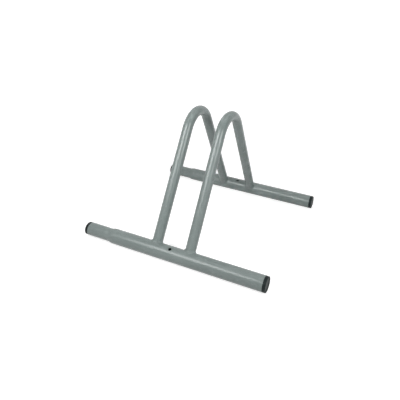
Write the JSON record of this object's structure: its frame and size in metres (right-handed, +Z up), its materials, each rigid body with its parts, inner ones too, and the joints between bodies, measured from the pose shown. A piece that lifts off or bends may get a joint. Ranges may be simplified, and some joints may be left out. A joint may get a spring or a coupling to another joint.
{
  "type": "floor bike stand",
  "caption": "Welded steel tube floor stand whose paired bent hoops hold a bicycle wheel upright, on round base tubes with swaged spigots that link stands end to end.",
  "frame": {"origin": "on the floor at the centre of the stand", "axes": "+X along the base tubes from the spigots to the open ends, +Y from the front base tube to the rear one, +Z up"},
  "size_m": [0.417, 0.389, 0.279],
  "materials": {
    "frame_paint": "semi-gloss grey-green powder coat",
    "plug_plastic": "satin black moulded plastic"
  },
  "bodies": {
    "frame": {"front_base_tube": "frame_paint", "rear_base_tube": "frame_paint", "left_hoop": "frame_paint", "right_hoop": "frame_paint", "left_front_weld": "frame_paint", "left_rear_weld": "frame_paint", "right_front_weld": "frame_paint", "right_rear_weld": "frame_paint", "front_spigot_plug": "plug_plastic", "rear_spigot_plug": "plug_plastic"},
    "front_socket_plug": {"front_socket_plug": "plug_plastic"},
    "rear_socket_plug": {"rear_socket_plug": "plug_plastic"}
  },
  "joints": [
    {"name": "front_socket_plug_pull", "type": "slide", "parent": "frame", "child": "front_socket_plug", "axis": [1, 0, 0], "range_m": [0, 0.06]},
    {"name": "rear_socket_plug_pull", "type": "slide", "parent": "frame", "child": "rear_socket_plug", "axis": [1, 0, 0], "range_m": [0, 0.06]}
  ]
}
